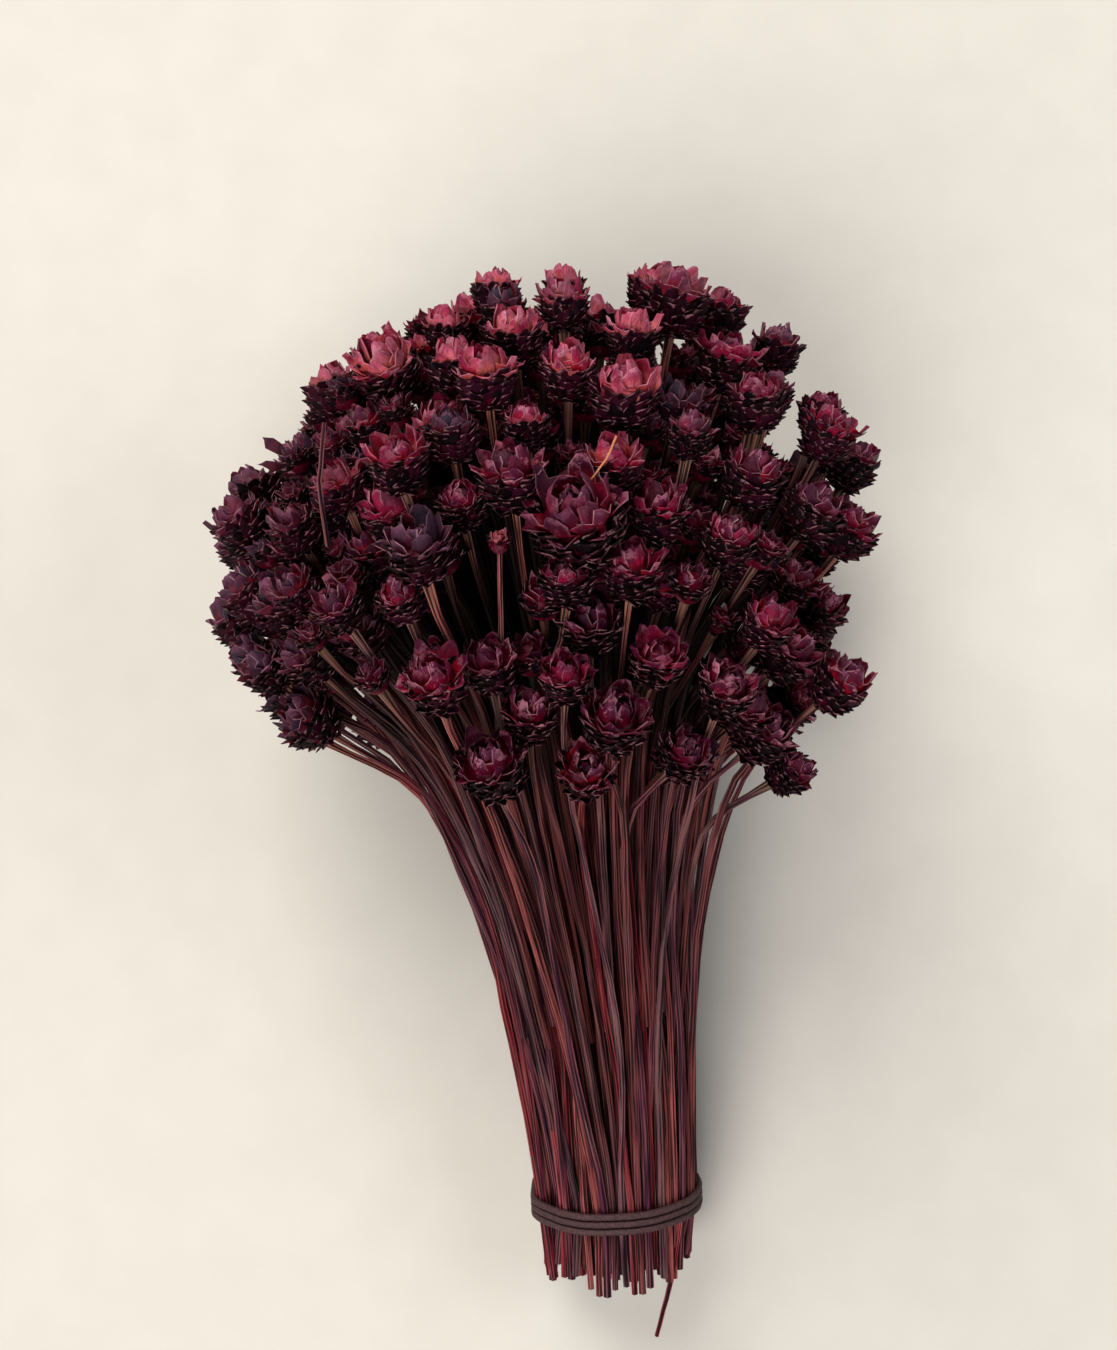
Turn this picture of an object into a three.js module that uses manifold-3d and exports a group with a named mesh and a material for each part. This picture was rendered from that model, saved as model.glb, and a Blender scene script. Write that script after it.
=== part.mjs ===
// A bunch of small dried strawflowers, lying on its side. Millimetres, +Z up, heads towards +Y.
// Its own frame: u runs across the bunch, s along it from the cut ends to the top of the dome,
// and w from the side that lies on the surface to the side that faces up.
import * as THREE from "three";
import { mergeGeometries, mergeVertices } from "three/addons/utils/BufferGeometryUtils.js";
import Module from "manifold-3d";

const wasm = await Module();
wasm.setup();

const flowerCount = 188;
const flowersPerSpray = 4;
const bandCount = 7; // bands of sprays from the middle of the bundle to its rim

const axisTilt = THREE.MathUtils.degToRad(12); // the dome end lies higher than the cut ends
const baseHeight = 14.8; // of the bundle's middle at the cut ends, so that the lowest stems touch down
const bundle = { halfWidth: 21, halfDepth: 17.5 }; // where the stems leave the tie
const waist = { halfWidth: 20.2, halfDepth: 16.9 }; // middles of the outermost stems at the tie
const row = { atCut: 1.0, atTie: 2.05 }; // between a spray's stems, which grow together at their foot
const tieHeight = 21.5;
const straightEnd = 26.5; // where the stems begin to spread
const tie = { halfWidth: 21.6, halfDepth: 18.25, height: 6, thickness: 1.1, turns: 3, sides: 12 };
const cutSpread = 5; // how unevenly the stems were cut
const dome = { u: -13, s: 182, across: 77, along: 68, front: 66, back: 54, skew: 0.2 };
const lowestHead = THREE.MathUtils.degToRad(135); // from the dome's top, round its shoulder
const floorRest = 5.4; // a head's middle above the surface where the bunch lies on it

const stemRadius = 0.98;
const stemSides = 3;
const stemSteps = 5; // the first one runs straight through the tie
const headRadius = { least: 5.8, most: 7.2, gap: 0.3 };
const petalsRound = 4; // in each of the three staggered whorls
const headMiddle = 1.1; // height of a head's middle above its foot, in radii
const headSpacing = 14.3;
const spacingRounds = 40;
const stemSpacing = 2.2;
const stemFloor = 1.3; // a stem's middle above the surface
const bendRounds = 70;

// The gap in the front of the dome, where only stems show, and the shoulder without low heads.
const gap = { u: -19, s: 186, halfWidth: 13, halfHeight: 20, behind: 12 };
const bareShoulder = { azimuth: 130, reach: 26, rise: 34 };
const proudHead = { polar: 74, azimuth: 79, reach: 11, height: 8 };

// How far single flowers stray from an even layout. Angles are in radians.
const seed = 26;
const stray = { angle: 0.07, swell: 0.07, depth: 17, depthPower: 2.2, lean: 0.2, swing: 0.3, spin: 0.4 };
const headLean = { upwards: 0.4, sideways: 0.16 }; // of a head's angle from the top of the dome
const nearTop = 0.4; // sine of the angle within which the stray round the axis grows no further
const deepestDownturn = 0.02; // of a head facing the surface, for each millimetre above it
const floorGive = 0.12; // of the depth by which the lowest heads would go under the surface
const cupDepth = 0.5; // of the cup's middle under the head's, in radii
const nudge = 0.25; // of what two heads lack in spacing, for each in a round

// A stem's bend: how wide the bundle opens, and how far the two ends hold their direction.
const bend = { opening: 1.12, leaving: 0.4, arriving: 0.3 };
const bandReach = { whole: 0.97, middle: 0.45 }; // of a band's row of stems in the waist
const unevenCut = 1.5; // between neighbouring stems of a spray
const headClearance = 1.5; // between a stem's middle and another flower's head
const headPush = 0.9; // of what is lacking to a head, for the stem in a round
const leastShift = 0.3; // of a stem's corner, when the place pushed aside is near the other end
const spring = { share: 0.06, rounds: 45 }; // by which a bent stem returns to its own curve

// A head's whorls from the cup up, in radii, closed and open: their middle, and how far each petal's
// tip goes out and up. Then the height of the hollow among the inner bracts.
const closedHead = {
  whorls: [
    { radius: 0.74, height: 0.42, out: 0.07, up: 0.13 },
    { radius: 0.8, height: 1.1, out: 0.12, up: 0.28 },
    { radius: 0.42, height: 1.48, out: 0.07, up: 0.26 },
  ],
  top: 1.5,
};
const openHead = {
  whorls: [
    { radius: 0.74, height: 0.42, out: 0.07, up: 0.13 },
    { radius: 0.86, height: 1.1, out: 0.15, up: 0.28 },
    { radius: 0.52, height: 1.48, out: 0.12, up: 0.22 },
  ],
  top: 1.2,
};

const tolerance = 1e-4;
const parallel = 1e-6; // sine squared under which two steps count as parallel
const surfaceBlock = { side: 600, thickness: 100 };
const finish = { flower: { color: 0x5c1422, roughness: 0.7 }, tie: { color: 0x3a1a1c, roughness: 0.8 } };

const radians = THREE.MathUtils.degToRad;
const goldenAngle = Math.PI * (3 - Math.sqrt(5));
const alongAxis = new THREE.Vector3(0, Math.cos(axisTilt), Math.sin(axisTilt));
const towardsFace = new THREE.Vector3(0, -Math.sin(axisTilt), Math.cos(axisTilt));
const across = new THREE.Vector3(1, 0, 0);

// A repeatable draw from 0 to 1 for one flower.
function draw(flower, choice) {
  const value = Math.sin((flower + seed) * 12.9898 + choice * 78.233) * 43758.5453;
  return value - Math.floor(value);
}

function turn(u, s, w) {
  return across.clone().multiplyScalar(u)
    .addScaledVector(alongAxis, s)
    .addScaledVector(towardsFace, w);
}

function place(u, s, w) {
  return turn(u, s, w).add(new THREE.Vector3(0, 0, baseHeight));
}

// The angle in degrees between two directions on the dome, each a polar angle and an azimuth.
function angleBetween(polar, azimuth, spot) {
  const other = radians(spot.polar);
  const cosine = Math.cos(polar) * Math.cos(other)
    + Math.sin(polar) * Math.sin(other) * Math.cos(azimuth - radians(spot.azimuth));
  return THREE.MathUtils.radToDeg(Math.acos(THREE.MathUtils.clamp(cosine, -1, 1)));
}

function bump(distance, reach) {
  return Math.exp(-((distance / reach) ** 2));
}

// Where a flower stands in the bundle and where its head sits in the dome. The golden angle spreads
// both evenly and keeps the stems in the same order all the way, so they don't cross.
function layOut(flower) {
  const share = (flower + 0.5) / flowerCount;
  const azimuth = (flower * goldenAngle) % (2 * Math.PI);
  const fromShoulder = Math.abs(THREE.MathUtils.radToDeg(azimuth) - bareShoulder.azimuth);
  const lowest = lowestHead - radians(bareShoulder.rise) * bump(fromShoulder, bareShoulder.reach);
  const polar = Math.acos(1 - (1 - Math.cos(lowest)) * share)
    + stray.angle * (draw(flower, 1) - 0.5);
  const evened = azimuth + stray.swell * Math.sin(2 * azimuth) * Math.sin(polar) ** 2
    + (stray.angle / Math.max(Math.sin(polar), nearTop)) * (draw(flower, 2) - 0.5);

  const du = Math.sin(polar) * Math.cos(evened);
  const dw = Math.sin(polar) * Math.sin(evened);
  const ds = Math.cos(polar);
  const depth = stray.depth * draw(flower, 3) ** stray.depthPower
    - proudHead.height * bump(angleBetween(polar, evened, proudHead), proudHead.reach);
  const size = 1 + dome.skew * du * Math.abs(ds) - depth / dome.across;
  const head = place(
    dome.u + size * dome.across * du,
    dome.s + size * dome.along * ds,
    size * (dw > 0 ? dome.front : dome.back) * dw,
  );
  if (head.z < floorRest) {
    head.z = floorRest + floorGive * (head.z - floorRest);
  }

  const leanShare = headLean.upwards + headLean.sideways * Math.abs(Math.cos(evened));
  const lean = leanShare * polar + stray.lean * (draw(flower, 4) - 0.5);
  const facing = turn(
    Math.sin(lean) * Math.cos(evened + stray.swing * (draw(flower, 5) - 0.5)),
    Math.cos(lean),
    Math.sin(lean) * Math.sin(evened),
  );
  facing.z = Math.max(facing.z, -deepestDownturn * head.z);
  facing.normalize();
  return { flower, azimuth, ring: Math.sqrt(share), head, facing };
}

// A stem's corners: its cut end, the end of its straight foot, and a bend out to the head.
function stemPoints(flower, cut, straight) {
  const neck = flower.head.clone().addScaledVector(flower.facing, -headMiddle * flower.radius);
  const length = straight.distanceTo(neck);
  const inBundle = place(
    bend.opening * bundle.halfWidth * flower.ring * Math.cos(flower.azimuth),
    straightEnd + bend.leaving * length,
    bend.opening * bundle.halfDepth * flower.ring * Math.sin(flower.azimuth),
  );
  const underHead = neck.clone().addScaledVector(flower.facing, -bend.arriving * length);
  const curve = new THREE.CubicBezierCurve3(straight, inBundle, underHead, neck);
  return [cut, ...curve.getPoints(stemSteps - 1)];
}

// The nearest points of two straight steps, as shares of each, and the way from one to the other.
function nearestPoints(a0, a1, b0, b1) {
  const a = a1.clone().sub(a0);
  const b = b1.clone().sub(b0);
  const from = a0.clone().sub(b0);
  const [aa, bb, ab, af, bf] = [a.dot(a), b.dot(b), a.dot(b), a.dot(from), b.dot(from)];
  const spread = aa * bb - ab * ab;
  const onA = spread > parallel * aa * bb ? THREE.MathUtils.clamp((ab * bf - af * bb) / spread, 0, 1) : 0.5;
  const onB = THREE.MathUtils.clamp((ab * onA + bf) / bb, 0, 1);
  const againOnA = THREE.MathUtils.clamp((ab * onB - af) / aa, 0, 1);
  const way = b0.clone().addScaledVector(b, onB).sub(a0.clone().addScaledVector(a, againOnA));
  return { onA: againOnA, onB, way };
}

// Moves the corners at both ends of a step, apart from the cut end and the neck, which stay.
function shift(path, step, share, way, amount) {
  [[step, 1 - share], [step + 1, share]].forEach(([corner, weight]) => {
    if (corner > 0 && corner < stemSteps) {
      path[corner].addScaledVector(way, amount * Math.max(weight, leastShift));
    }
  });
}

// Lets a bent stem spring back a little towards its own curve.
function springBack(flower) {
  flower.path.slice(2, stemSteps).forEach((corner, i) => {
    corner.lerp(flower.curve[i + 2], spring.share);
  });
}

// Keeps a stem inside the tie and above the surface.
function settle(path) {
  const atTie = path[1];
  const w = (atTie.z - baseHeight) * Math.cos(axisTilt) - atTie.y * Math.sin(axisTilt);
  const reach = Math.hypot(atTie.x / waist.halfWidth, w / waist.halfDepth);
  if (reach > 1) {
    const back = 1 / reach - 1;
    atTie.add(turn(back * atTie.x, 0, back * w));
  }
  path.slice(2).forEach((corner) => {
    corner.z = Math.max(corner.z, stemFloor);
  });
}

// Stems that would run through each other or through a head are bent clear.
function bendClear(flowers) {
  const steps = [];
  flowers.forEach((flower) => {
    for (let step = 0; step < stemSteps; step += 1) {
      steps.push({ flower, step });
    }
  });
  for (let round = 0; round < bendRounds; round += 1) {
    steps.forEach(({ flower, step }, i) => {
      const [start, end] = [flower.path[step], flower.path[step + 1]];
      for (let j = i + 1; j < steps.length; j += 1) {
        const other = steps[j];
        const grownTogether = other.flower.spray === flower.spray && (step === 0 || other.step === 0);
        if (other.flower !== flower && !grownTogether) {
          const path = other.flower.path;
          const { onA, onB, way } = nearestPoints(start, end, path[other.step], path[other.step + 1]);
          const lacking = stemSpacing - way.length();
          if (lacking > 0) {
            way.normalize();
            shift(flower.path, step, onA, way, -0.5 * lacking);
            shift(path, other.step, onB, way, 0.5 * lacking);
          }
        }
      }
      flowers.forEach((other) => {
        if (other !== flower) {
          const { onA, way } = nearestPoints(start, end, other.head, other.cup);
          const lacking = other.radius + headClearance - way.length();
          if (lacking > 0) {
            shift(flower.path, step, onA, way.normalize(), -headPush * lacking);
          }
        }
      });
    });
    if (round < spring.rounds) {
      flowers.forEach(springBack);
    }
    flowers.forEach((flower) => settle(flower.path));
  }
}

function bandEdge(band) {
  const sprays = flowerCount / flowersPerSpray;
  return flowersPerSpray * Math.round(sprays * (band / bandCount) ** 2);
}

// Neighbouring flowers of one band, a few to a spray, with their row at the tie.
function gatherSprays(flowers) {
  const sprays = [];
  for (let band = 0; band < bandCount; band += 1) {
    const members = flowers.slice(bandEdge(band), bandEdge(band + 1));
    members.sort((a, b) => a.azimuth - b.azimuth);
    for (let first = 0; first < members.length; first += flowersPerSpray) {
      const spray = members.slice(first, first + flowersPerSpray);
      const middle = spray.reduce((sum, f) => sum + f.azimuth, 0) / spray.length;
      const reach = band === 0 ? 0 : (bandReach.whole * (band + bandReach.middle)) / bandCount;
      spray.forEach((flower, i) => {
        const side = i - (flowersPerSpray - 1) / 2;
        const inRow = (spacing, s) => place(
          reach * waist.halfWidth * Math.cos(middle) - side * spacing * Math.sin(middle),
          s,
          reach * waist.halfDepth * Math.sin(middle) + side * spacing * Math.cos(middle),
        );
        const cutAt = cutSpread * draw(first, band)
          + Math.abs(side) * (unevenCut + draw(flower.flower, 9));
        flower.spray = sprays.length;
        flower.path = stemPoints(flower, inRow(row.atCut, cutAt), inRow(row.atTie, straightEnd));
        flower.curve = flower.path.map((corner) => corner.clone());
      });
      sprays.push(spray);
    }
  }
  return sprays;
}

// Heads that would sit too close together press each other aside.
function pressApart(flowers) {
  for (let round = 0; round < spacingRounds; round += 1) {
    flowers.forEach((flower, i) => {
      flowers.slice(i + 1).forEach((other) => {
        const between = other.head.clone().sub(flower.head);
        const lacking = headSpacing - between.length();
        if (lacking > 0) {
          between.setLength(nudge * lacking);
          other.head.add(between);
          flower.head.sub(between);
        }
      });
      leaveGap(flower.head);
      flower.head.z = Math.max(flower.head.z, floorRest);
    });
  }
}

// Moves a head out of the gap in the front, sideways or along the bunch.
function leaveGap(head) {
  const raised = head.clone().setZ(head.z - baseHeight);
  const fromMiddle = [(head.x - gap.u) / gap.halfWidth, (raised.dot(alongAxis) - gap.s) / gap.halfHeight];
  const distance = Math.hypot(...fromMiddle);
  if (distance < 1 && raised.dot(towardsFace) > gap.behind) {
    const [du, ds] = fromMiddle.map((share) => share * (1 / distance - 1));
    head.add(turn(du * gap.halfWidth, ds * gap.halfHeight, 0));
  }
}

function headSizes(flowers) {
  flowers.forEach((flower) => {
    const others = flowers.filter((other) => other !== flower);
    const nearest = Math.min(...others.map((other) => other.head.distanceTo(flower.head)));
    const wanted = THREE.MathUtils.lerp(headRadius.least, headRadius.most, draw(flower.flower, 6));
    flower.radius = Math.min(wanted, nearest / 2 - headRadius.gap);
    flower.cup = flower.head.clone().addScaledVector(flower.facing, -cupDepth * flower.radius);
  });
}

// Joins the parts of one closed body. Where two of them meet in the same triangle, both faces go.
function solidFrom(...parts) {
  const bare = parts.map((part) => {
    const loose = part.index ? part.toNonIndexed() : part.clone();
    loose.deleteAttribute("normal");
    loose.deleteAttribute("uv");
    return loose;
  });
  const merged = mergeVertices(mergeGeometries(bare), tolerance);
  const faces = new Map();
  for (let i = 0; i < merged.index.count; i += 3) {
    const face = Array.from(merged.index.array.slice(i, i + 3));
    const key = [...face].sort((a, b) => a - b).join();
    if (faces.has(key)) {
      faces.delete(key);
    } else if (new Set(face).size === 3) {
      faces.set(key, face);
    }
  }
  return new wasm.Manifold(new wasm.Mesh({
    numProp: 3,
    vertProperties: new Float32Array(merged.attributes.position.array),
    triVerts: new Uint32Array([...faces.values()].flat()),
  }));
}

function geometryFrom(solid) {
  const mesh = solid.getMesh();
  const geometry = new THREE.BufferGeometry();
  geometry.setAttribute("position", new THREE.BufferAttribute(mesh.vertProperties, 3));
  geometry.setIndex(new THREE.BufferAttribute(mesh.triVerts, 1));
  geometry.computeVertexNormals();
  return geometry;
}

// A head, from the three corners where its stem ends to the hollow among its inner bracts. Each
// whorl is a ring whose corners go out to a tip and in to a notch, turned half a petal on.
function headGeometry(flower, stemEnd) {
  const open = draw(flower.flower, 7);
  const between = (closed, opened) => THREE.MathUtils.lerp(closed, opened, open);
  const whorls = closedHead.whorls.map((closed, i) => Object.fromEntries(
    Object.entries(closed).map(([size, value]) => [size, between(value, openHead.whorls[i][size])]),
  ));
  const outline = [new THREE.Vector2(0, 0), new THREE.Vector2(whorls[0].radius / 2, 0)];
  whorls.forEach((whorl) => outline.push(new THREE.Vector2(whorl.radius, whorl.height)));
  outline.push(new THREE.Vector2(0, between(closedHead.top, openHead.top)));
  const sides = 2 * petalsRound;
  const geometry = new THREE.LatheGeometry(outline, sides);
  const corners = geometry.attributes.position;
  for (let i = 0; i < corners.count; i += 1) {
    const ring = i % outline.length;
    if (ring > 1 && ring < outline.length - 1) {
      const { radius, height, out, up } = whorls[ring - 2];
      const side = (Math.floor(i / outline.length) + ring) % 2 === 0 ? 1 : -1;
      const factor = 1 + (side * out) / radius;
      corners.setXYZ(i, corners.getX(i) * factor, height + side * up, corners.getZ(i) * factor);
    }
  }

  const standing = new THREE.Quaternion().setFromUnitVectors(new THREE.Vector3(0, 1, 0), flower.facing);
  const turnOf = (corner) => {
    const local = corner.clone().sub(flower.head).applyQuaternion(standing.clone().invert());
    return Math.atan2(local.x, local.z);
  };
  const feet = [...stemEnd].sort((a, b) => turnOf(a) - turnOf(b));
  geometry.translate(0, -headMiddle, 0);
  geometry.scale(flower.radius, flower.radius, flower.radius);
  geometry.rotateY(turnOf(feet[0]) - Math.PI / sides - stray.spin * draw(flower.flower, 8));
  geometry.applyQuaternion(standing);
  geometry.translate(flower.head.x, flower.head.y, flower.head.z);
  for (let i = 0; i < corners.count; i += 1) {
    const corner = Math.floor(i / outline.length) % sides;
    const foot = feet[Math.floor((stemSides * corner) / sides)];
    if (i % outline.length === 0) {
      corners.setXYZ(i, feet[0].x, feet[0].y, feet[0].z);
    } else if (i % outline.length === 1) {
      corners.setXYZ(i, foot.x, foot.y, foot.z);
    }
  }
  return geometry;
}

// A stem as a chain of straight steps, so that its corners stay where they were placed.
class Chain extends THREE.Curve {
  constructor(points) {
    super();
    this.points = points;
  }

  getPoint(t) {
    const steps = this.points.length - 1;
    const step = Math.min(Math.floor(t * steps + 1e-9), steps - 1);
    return this.points[step].clone().lerp(this.points[step + 1], t * steps - step);
  }

  getTangent(t) {
    const steps = this.points.length - 1;
    const corner = Math.round(t * steps);
    const before = this.points[Math.max(corner - 1, 0)];
    const after = this.points[Math.min(corner + 1, steps)];
    return after.clone().sub(before).normalize();
  }

  getUtoTmapping(u) {
    return u;
  }
}

function stemGeometry(flower) {
  const section = new THREE.Shape();
  for (let corner = 0; corner < stemSides; corner += 1) {
    const angle = (2 * Math.PI * corner) / stemSides;
    const point = [stemRadius * Math.cos(angle), stemRadius * Math.sin(angle)];
    if (corner === 0) {
      section.moveTo(...point);
    } else {
      section.lineTo(...point);
    }
  }
  return new THREE.ExtrudeGeometry(section, { steps: stemSteps, extrudePath: new Chain(flower.path) });
}

// One flower: the second triangle of the stem is its end, and the head grows from its corners.
function flowerSolid(flower) {
  const stem = stemGeometry(flower);
  const end = [3, 4, 5].map((i) => new THREE.Vector3().fromBufferAttribute(stem.attributes.position, i));
  return solidFrom(stem, headGeometry(flower, end));
}

// Everything under the surface, for cutting the small flats that the bunch rests on.
const { side, thickness } = surfaceBlock;
const underSurface = solidFrom(
  new THREE.BoxGeometry(side, side, thickness).translate(0, side / 4, -thickness / 2),
);

function named(name, solid, look) {
  const material = new THREE.MeshStandardMaterial({ ...look, metalness: 0 });
  const mesh = new THREE.Mesh(geometryFrom(solid), material);
  mesh.name = name;
  return mesh;
}

function sprayMesh(spray, index) {
  const solid = spray.map(flowerSolid).reduce((sum, next) => sum.add(next));
  const name = `spray_${String(index + 1).padStart(2, "0")}`;
  return named(name, solid.subtract(underSurface), finish.flower);
}

// The tie: a flat cord wound three times, as one ring with three ridges, a little clear of the stems.
function tieMesh() {
  const turnHeight = tie.height / tie.turns;
  const outline = [new THREE.Vector2(1, -tie.height / 2), new THREE.Vector2(1, tie.height / 2)];
  for (let ridge = tie.turns - 1; ridge >= 0; ridge -= 1) {
    const low = ridge * turnHeight - tie.height / 2;
    outline.push(new THREE.Vector2(1 + 0.5 * tie.thickness, low + turnHeight));
    outline.push(new THREE.Vector2(1 + tie.thickness, low + 0.5 * turnHeight));
  }
  outline.push(new THREE.Vector2(1 + 0.5 * tie.thickness, -tie.height / 2));
  outline.push(outline[0].clone());
  const geometry = new THREE.LatheGeometry(outline.reverse(), tie.sides, Math.PI / tie.sides);
  const corners = geometry.attributes.position;
  for (let i = 0; i < corners.count; i += 1) {
    const [x, along, z] = [corners.getX(i), corners.getY(i), corners.getZ(i)];
    const angle = Math.atan2(z, x);
    const beyond = Math.hypot(x, z) - 1;
    const corner = place(
      (tie.halfWidth + beyond) * Math.cos(angle),
      tieHeight + along,
      (tie.halfDepth + beyond) * Math.sin(angle),
    );
    corners.setXYZ(i, corner.x, corner.y, corner.z);
  }
  return named("tie_band", solidFrom(geometry), finish.tie);
}

const flowers = Array.from({ length: flowerCount }, (_, i) => layOut(i));
pressApart(flowers);
headSizes(flowers);
const sprays = gatherSprays(flowers);
bendClear(flowers);
const bunch = new THREE.Group();
sprays.forEach((spray, index) => bunch.add(sprayMesh(spray, index)));
bunch.add(tieMesh());

const box = new THREE.Box3().setFromObject(bunch);
const centre = box.getCenter(new THREE.Vector3());
bunch.position.set(-centre.x, -centre.y, 0);

export default bunch;
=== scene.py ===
# A bunch of small dried strawflowers, lying on its side with the heads towards +Y.
import math
from math import cos, hypot, pi, radians, sin
from types import SimpleNamespace

import bmesh
import bpy
import numpy as np
from mathutils import Matrix, Vector
from mathutils.geometry import interpolate_bezier


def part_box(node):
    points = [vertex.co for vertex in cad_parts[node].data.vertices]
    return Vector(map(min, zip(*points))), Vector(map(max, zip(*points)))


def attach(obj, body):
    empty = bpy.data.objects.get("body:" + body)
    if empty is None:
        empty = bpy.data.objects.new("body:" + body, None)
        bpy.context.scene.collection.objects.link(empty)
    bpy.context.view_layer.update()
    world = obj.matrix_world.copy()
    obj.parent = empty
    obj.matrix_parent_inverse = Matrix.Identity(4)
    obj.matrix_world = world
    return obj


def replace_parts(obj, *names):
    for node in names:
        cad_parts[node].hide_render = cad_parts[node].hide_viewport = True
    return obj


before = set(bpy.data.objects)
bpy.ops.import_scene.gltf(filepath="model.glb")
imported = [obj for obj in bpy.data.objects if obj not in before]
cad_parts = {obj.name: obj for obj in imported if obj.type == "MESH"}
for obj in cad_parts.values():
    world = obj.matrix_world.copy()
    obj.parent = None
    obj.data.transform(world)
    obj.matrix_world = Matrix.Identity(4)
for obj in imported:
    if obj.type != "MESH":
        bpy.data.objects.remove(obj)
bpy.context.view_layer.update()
print("frame loaded:", len(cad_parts), "solids")

# The bunch is laid out in millimetres as its solids are: u runs across it, s along it from the cut
# ends to the top of the dome, and w towards the side that faces up.
bunch = {
    "flowers": 188, "perSpray": 4, "bands": 7, "seed": 26,
    "tilt": radians(12), "baseHeight": 14.8,
    "halfWidth": 21.0, "halfDepth": 17.5,  # where the stems leave the tie
    "waistWidth": 20.2, "waistDepth": 16.9,  # middles of the outermost stems at the tie
    "rowAtTie": 2.05, "tieHeight": 21.5, "straightEnd": 26.5, "cutSpread": 5.0,
    "bandReach": 0.97, "bandMiddle": 0.45, "cutAside": 1.5, "bulge": 1.12, "bulgeAt": 0.4, "underHead": 0.3,
    "stemSteps": 5, "stemSpacing": 2.2, "stemFloor": 1.3, "bendRounds": 70, "lookEvery": 4, "leastShift": 0.3,
    "springRounds": 45, "springShare": 0.06,
    "nearStem": 2.5, "nearHead": 4.0, "headClear": 1.5, "headPush": 0.9,
    "headSpacing": 14.3, "spacingRounds": 40, "spacingPush": 0.25, "headMiddle": 1.1, "cupAt": 0.5,
    "least": 5.8, "most": 7.2, "gap": 0.3, "floorRest": 5.4, "floorPress": 0.12,
    "lowestHead": radians(135), "jitter": 0.07, "evening": 0.07, "sunk": 17, "sunkPower": 2.2,
    "leanUp": 0.4, "leanAside": 0.16, "leanJitter": 0.2, "swing": 0.3, "faceDown": -0.02,
}
dome = {"u": -13.0, "s": 182.0, "across": 77.0, "along": 68.0, "front": 66.0, "back": 54.0, "skew": 0.2}
gap = {"u": -19.0, "s": 186.0, "halfWidth": 13.0, "halfHeight": 20.0, "behind": 12.0}
bareShoulder = {"azimuth": 130, "reach": 26, "rise": 34}
proudHead = {"polar": 74, "azimuth": 79, "reach": 11, "height": 8}
stray = {"from": 0.80, "aside": 4.5, "over": 2.0, "at": ((2, 1.0), (3, 0.7))}

alongAxis = Vector((0, cos(bunch["tilt"]), sin(bunch["tilt"])))
towardsFace = Vector((0, -sin(bunch["tilt"]), cos(bunch["tilt"])))
goldenAngle = pi * (3 - math.sqrt(5))

tieLow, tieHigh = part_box("tie_band")  # the ring's middle says where the solids were centred
offX = (tieLow.x + tieHigh.x) / 2
offY = (tieLow.y + tieHigh.y) / 2 - 0.001 * bunch["tieHeight"] * cos(bunch["tilt"])
intoRoom = Matrix.Translation((offX, offY, 0)) @ Matrix.Scale(0.001, 4)


def draw(flower, choice):  # a repeatable number from 0 to 1
    value = sin((flower + bunch["seed"]) * 12.9898 + choice * 78.233) * 43758.5453
    return value - math.floor(value)


def turned(u, s, w):
    return Vector((u, 0, 0)) + s * alongAxis + w * towardsFace


def placed(u, s, w):
    return turned(u, s, w) + Vector((0, 0, bunch["baseHeight"]))


def mix(a, b, share):
    return a + (b - a) * share


def clamp(value, low=0.0, high=1.0):
    return max(low, min(high, value))


def ramp(value, start, end):  # 0 up to the start, 1 from the end
    return clamp((value - start) / (end - start))


def bump(distance, reach):
    return math.exp(-((distance / reach) ** 2))


def angleBetween(polar, azimuth, spot):
    other = radians(spot["polar"])
    cosine = (cos(polar) * cos(other)
              + sin(polar) * sin(other) * cos(azimuth - radians(spot["azimuth"])))
    return math.degrees(math.acos(clamp(cosine, -1, 1)))


def layOut(i):  # where a flower stands in the bundle, and where its head sits in the dome
    share = (i + 0.5) / bunch["flowers"]
    azimuth = (i * goldenAngle) % (2 * pi)
    fromShoulder = abs(math.degrees(azimuth) - bareShoulder["azimuth"])
    raisedBy = radians(bareShoulder["rise"]) * bump(fromShoulder, bareShoulder["reach"])
    lowest = bunch["lowestHead"] - raisedBy
    polar = math.acos(1 - (1 - cos(lowest)) * share) + bunch["jitter"] * (draw(i, 1) - 0.5)
    evened = (azimuth + bunch["evening"] * sin(2 * azimuth) * sin(polar) ** 2
              + (bunch["jitter"] / max(sin(polar), 0.4)) * (draw(i, 2) - 0.5))
    du = sin(polar) * cos(evened)
    dw = sin(polar) * sin(evened)
    ds = cos(polar)
    depth = (bunch["sunk"] * draw(i, 3) ** bunch["sunkPower"]
             - proudHead["height"] * bump(angleBetween(polar, evened, proudHead), proudHead["reach"]))
    size = 1 + dome["skew"] * du * abs(ds) - depth / dome["across"]
    side = dome["front"] if dw > 0 else dome["back"]
    head = placed(dome["u"] + size * dome["across"] * du,
                  dome["s"] + size * dome["along"] * ds, size * side * dw)
    if head.z < bunch["floorRest"]:
        head.z = bunch["floorRest"] + bunch["floorPress"] * (head.z - bunch["floorRest"])
    lean = ((bunch["leanUp"] + bunch["leanAside"] * abs(cos(evened))) * polar
            + bunch["leanJitter"] * (draw(i, 4) - 0.5))
    swing = evened + bunch["swing"] * (draw(i, 5) - 0.5)
    facing = turned(sin(lean) * cos(swing), cos(lean), sin(lean) * sin(evened))
    facing.z = max(facing.z, bunch["faceDown"] * head.z)  # the lowest ones face hardly at all downwards
    facing.normalize()
    return SimpleNamespace(flower=i, azimuth=azimuth, ring=math.sqrt(share), head=head, facing=facing)


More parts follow.
